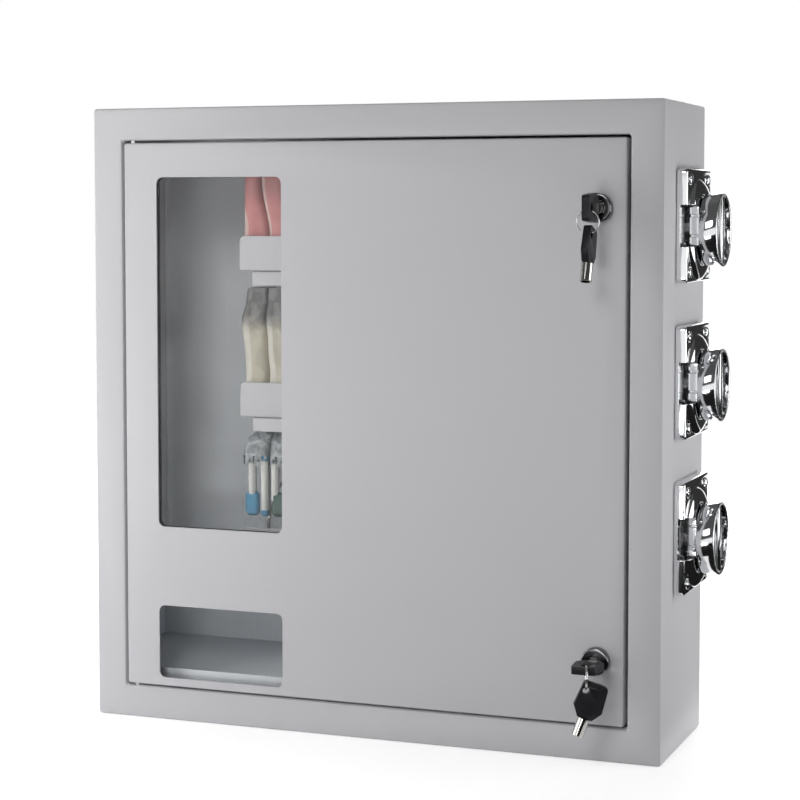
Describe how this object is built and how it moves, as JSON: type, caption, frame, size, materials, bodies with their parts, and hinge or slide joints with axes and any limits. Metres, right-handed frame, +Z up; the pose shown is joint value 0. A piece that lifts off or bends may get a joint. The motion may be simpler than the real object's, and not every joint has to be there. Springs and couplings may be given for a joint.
{
  "type": "combo vending machine",
  "caption": "Flat wall vending cabinet: glazed hinged door with cam locks, coin knobs on the right side turn wire spirals that push packs into a drop shaft and pickup bin.",
  "frame": {"origin": "centre of the cabinet shell's flat underside", "axes": "+X to the right seen from the front, towards the coin knobs; +Y to the back, towards the wall; +Z up"},
  "size_m": [0.4448, 0.1559, 0.44],
  "materials": {
    "grey_paint": "smooth satin powder coat",
    "zinc_sheet": "zinc plated",
    "chrome": "polished",
    "cast_zinc": "as cast",
    "steel": "machined",
    "spring_wire": "bright drawn",
    "clear_acrylic": "clear",
    "black_plastic": "fine matte",
    "pink_sleeve": "satin",
    "cream_bag": "soft film",
    "white_bag": "soft film"
  },
  "bodies": {
    "cabinet": {"cabinet_shell": "grey_paint", "back_panel": "grey_paint", "pickup_bin": "grey_paint", "cash_box": "zinc_sheet", "coin_chute": "zinc_sheet", "upper_pivot_pin": "steel", "lower_pivot_pin": "steel", "upper_tray": "grey_paint", "upper_rail": "grey_paint", "upper_coin_face": "chrome", "upper_housing": "cast_zinc", "middle_tray": "grey_paint", "middle_rail": "grey_paint", "middle_coin_face": "chrome", "middle_housing": "cast_zinc", "lower_tray": "grey_paint", "lower_rail": "grey_paint", "lower_coin_face": "chrome", "lower_housing": "cast_zinc"},
    "door": {"door_panel": "grey_paint", "window_pane": "clear_acrylic", "pane_frame": "black_plastic", "upper_lock_body": "chrome", "lower_lock_body": "chrome", "upper_lock_nut": "steel", "lower_lock_nut": "steel"},
    "upper_cylinder": {"upper_lock_plug": "steel", "upper_lock_cam": "steel"},
    "upper_key": {"upper_key_bow": "black_plastic", "upper_key_barrel": "steel"},
    "upper_key_ring": {"upper_ring": "steel"},
    "upper_spare_key": {"upper_spare_key_bow": "black_plastic", "upper_spare_key_barrel": "steel"},
    "lower_cylinder": {"lower_lock_plug": "steel", "lower_lock_cam": "steel"},
    "lower_key": {"lower_key_bow": "black_plastic", "lower_key_barrel": "steel"},
    "lower_key_ring": {"lower_ring": "steel"},
    "lower_spare_key": {"lower_spare_key_bow": "black_plastic", "lower_spare_key_barrel": "steel"},
    "upper_drive": {"upper_knob": "chrome", "upper_spindle": "steel", "upper_coin_wheel": "steel", "upper_spiral": "spring_wire"},
    "upper_packs": {"upper_pack_1": "pink_sleeve", "upper_pack_2": "pink_sleeve"},
    "middle_drive": {"middle_knob": "chrome", "middle_spindle": "steel", "middle_coin_wheel": "steel", "middle_spiral": "spring_wire"},
    "middle_packs": {"middle_pack_1": "cream_bag", "middle_pack_2": "cream_bag"},
    "lower_drive": {"lower_knob": "chrome", "lower_spindle": "steel", "lower_coin_wheel": "steel", "lower_spiral": "spring_wire"},
    "lower_packs": {"lower_pack_1": "white_bag", "lower_pack_2": "white_bag"}
  },
  "joints": [
    {"name": "door_hinge", "type": "hinge", "parent": "cabinet", "child": "door", "pos_m": [-0.1792, -0.0544, 0.0243], "axis": [0, 0, -1], "range_deg": [0, 120]},
    {"name": "upper_lock_turn", "type": "hinge", "parent": "door", "child": "upper_cylinder", "pos_m": [0.166, -0.0583, 0.369], "axis": [0, 1, 0], "range_deg": [0, 90]},
    {"name": "upper_key_pull", "type": "slide", "parent": "upper_cylinder", "child": "upper_key", "axis": [0, -1, 0], "range_m": [0, 0.03]},
    {"name": "lower_lock_turn", "type": "hinge", "parent": "door", "child": "lower_cylinder", "pos_m": [0.166, -0.0583, 0.068], "axis": [0, 1, 0], "range_deg": [0, 90]},
    {"name": "lower_key_pull", "type": "slide", "parent": "lower_cylinder", "child": "lower_key", "axis": [0, -1, 0], "range_m": [0, 0.03]},
    {"name": "upper_ring_swing", "type": "hinge", "parent": "upper_key", "child": "upper_key_ring", "pos_m": [0.166, -0.0851, 0.36733], "axis": [1, 0, 0], "range_deg": [-20, 10]},
    {"name": "upper_spare_swing", "type": "hinge", "parent": "upper_key_ring", "child": "upper_spare_key", "pos_m": [0.166, -0.0851, 0.35233], "axis": [1, 0, 0], "range_deg": [-25, 12]},
    {"name": "lower_ring_swing", "type": "hinge", "parent": "lower_key", "child": "lower_key_ring", "pos_m": [0.166, -0.0851, 0.068], "axis": [0, 0, 1], "range_deg": [-25, 15]},
    {"name": "lower_spare_swing", "type": "hinge", "parent": "lower_key_ring", "child": "lower_spare_key", "pos_m": [0.16786, -0.09022, 0.0564], "axis": [-0.342, 0.9397, 0], "range_deg": [-25, 25]},
    {"name": "upper_drive_turn", "type": "hinge", "parent": "cabinet", "child": "upper_drive", "pos_m": [0.2223, 0.01, 0.354], "axis": [-1, 0, 0], "range_deg": [0, 360]},
    {"name": "middle_drive_turn", "type": "hinge", "parent": "cabinet", "child": "middle_drive", "pos_m": [0.2223, 0.01, 0.249], "axis": [-1, 0, 0], "range_deg": [0, 360]},
    {"name": "lower_drive_turn", "type": "hinge", "parent": "cabinet", "child": "lower_drive", "pos_m": [0.2223, 0.01, 0.144], "axis": [-1, 0, 0], "range_deg": [0, 360]},
    {"name": "upper_packs_advance", "type": "slide", "parent": "cabinet", "child": "upper_packs", "axis": [-1, 0, 0], "range_m": [0, 0.018]},
    {"name": "middle_packs_advance", "type": "slide", "parent": "cabinet", "child": "middle_packs", "axis": [-1, 0, 0], "range_m": [0, 0.018]},
    {"name": "lower_packs_advance", "type": "slide", "parent": "cabinet", "child": "lower_packs", "axis": [-1, 0, 0], "range_m": [0, 0.018]}
  ],
  "couplings": [
    {"joint": "upper_packs_advance", "follows": "upper_drive_turn", "m_per_rad": 0.0028647},
    {"joint": "middle_packs_advance", "follows": "middle_drive_turn", "m_per_rad": 0.0028647},
    {"joint": "lower_packs_advance", "follows": "lower_drive_turn", "m_per_rad": 0.0028647}
  ]
}
